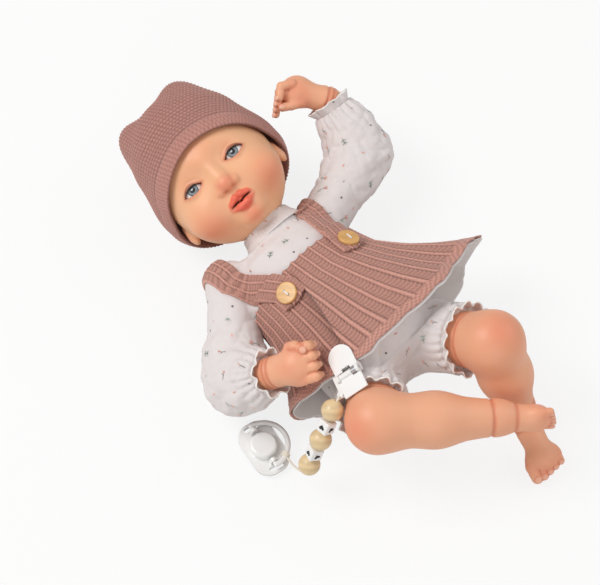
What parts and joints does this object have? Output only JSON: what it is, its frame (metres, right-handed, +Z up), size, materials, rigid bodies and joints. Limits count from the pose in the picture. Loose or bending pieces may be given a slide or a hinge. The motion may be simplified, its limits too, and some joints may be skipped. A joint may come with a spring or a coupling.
{
  "type": "interactive baby doll",
  "caption": "Soft-bodied baby doll with vinyl head and limbs, knitted hat and pinafore, printed romper, sound unit, and a clip with bead chain and pacifier.",
  "frame": {"origin": "on the surface it lies on, at the middle of the flat part of the pinafore's back", "axes": "+X towards the doll's left, +Y towards its head, +Z up, out of its chest"},
  "size_m": [0.2401, 0.3969, 0.1128],
  "materials": {
    "cotton_cover": "matt",
    "stuffing": "matt",
    "nylon_tie": "satin",
    "printed_jersey": "matt, small printed flowers",
    "rose_knit": "knitted",
    "hat_knit": "knitted",
    "button_wood": "polished",
    "thread": "matt",
    "case_plastic": "satin",
    "press_plastic": "satin",
    "steel": "bright",
    "board": "satin",
    "speaker_metal": "satin",
    "cell_jacket": "gloss",
    "white_plastic": "gloss",
    "bead_wood": "waxed",
    "cord": "matt",
    "magnet": "satin",
    "skin_vinyl": "soft matt vinyl",
    "eye_gloss": "gloss"
  },
  "bodies": {
    "torso": {"body_cover": "cotton_cover", "body_stuffing": "stuffing", "neck_tie": "nylon_tie", "right_arm_tie": "nylon_tie", "left_arm_tie": "nylon_tie", "right_leg_tie": "nylon_tie", "left_leg_tie": "nylon_tie", "romper_top": "printed_jersey", "romper_shorts": "printed_jersey", "romper_collar": "printed_jersey", "pinafore_skirt": "rose_knit", "right_strap": "rose_knit", "left_strap": "rose_knit", "right_button": "button_wood", "left_button": "button_wood", "right_button_thread": "thread", "left_button_thread": "thread", "case_back": "case_plastic", "case_front": "case_plastic", "battery_door": "case_plastic", "door_screw": "steel", "circuit_board": "board", "speaker": "speaker_metal", "battery_cells": "cell_jacket", "battery_contacts": "steel", "case_screws": "steel", "button_spring": "steel", "clip_body": "white_plastic", "clip_pin": "steel", "clip_spring": "steel", "chain_cord": "cord", "chain_bead_1": "bead_wood", "chain_cube_1": "white_plastic", "chain_bead_2": "bead_wood", "chain_cube_2": "white_plastic", "chain_bead_3": "bead_wood", "handle_knot": "cord", "pacifier_handle": "white_plastic"},
    "head": {"head_shell": "skin_vinyl", "left_eye": "eye_gloss", "right_eye": "eye_gloss", "mouth_magnet": "magnet", "hat": "hat_knit"},
    "right_arm": {"right_arm": "skin_vinyl", "right_sleeve": "printed_jersey"},
    "left_arm": {"left_arm": "skin_vinyl", "left_sleeve": "printed_jersey"},
    "right_leg": {"right_leg": "skin_vinyl"},
    "left_leg": {"left_leg": "skin_vinyl"},
    "press_button": {"press_button": "press_plastic"},
    "power_switch": {"power_switch": "case_plastic"},
    "clip_lever": {"clip_lever": "white_plastic"},
    "pacifier": {"pacifier_shield": "white_plastic", "pacifier_cap": "white_plastic", "pacifier_magnet": "magnet"}
  },
  "joints": [
    {"name": "neck_turn", "type": "hinge", "parent": "torso", "child": "head", "pos_m": [0.009, 0.124, 0.0595], "axis": [0, 0.9781, 0.2079], "range_deg": [-25, 35]},
    {"name": "right_arm_twist", "type": "hinge", "parent": "torso", "child": "right_arm", "pos_m": [-0.046, 0.054, 0.044], "axis": [-0.6417, -0.738, -0.2086], "range_deg": [0, 75]},
    {"name": "left_arm_twist", "type": "hinge", "parent": "torso", "child": "left_arm", "pos_m": [0.046, 0.054, 0.044], "axis": [0.9434, 0.3302, -0.0314], "range_deg": [-20, 80]},
    {"name": "right_leg_twist", "type": "hinge", "parent": "torso", "child": "right_leg", "pos_m": [-0.028, -0.061, 0.043], "axis": [-0.48, -0.64, 0.6], "range_deg": [-30, 12]},
    {"name": "left_leg_twist", "type": "hinge", "parent": "torso", "child": "left_leg", "pos_m": [0.028, -0.061, 0.043], "axis": [0.1846, -0.7538, 0.6307], "range_deg": [0, 35]},
    {"name": "button_press", "type": "slide", "parent": "torso", "child": "press_button", "axis": [0, 0, -1], "range_m": [0, 0.0025], "stiffness_N_per_m": 300, "springref_m": -0.002, "deforming": ["button_spring"]},
    {"name": "switch_slide", "type": "slide", "parent": "torso", "child": "power_switch", "axis": [0, 1, 0], "range_m": [0, 0.003]},
    {"name": "clip_flap", "type": "hinge", "parent": "torso", "child": "clip_lever", "pos_m": [-0.04404, -0.05812, 0.08282], "axis": [-0.7867, 0.3193, -0.5284], "range_deg": [0, 80], "stiffness_Nm_per_rad": 0.002, "springref_deg": -22.92},
    {"name": "pacifier_pivot", "type": "hinge", "parent": "torso", "child": "pacifier", "pos_m": [-0.0988, -0.031, 0.0094], "axis": [0.2201, 0.9755, 0], "range_deg": [0, 100]}
  ]
}
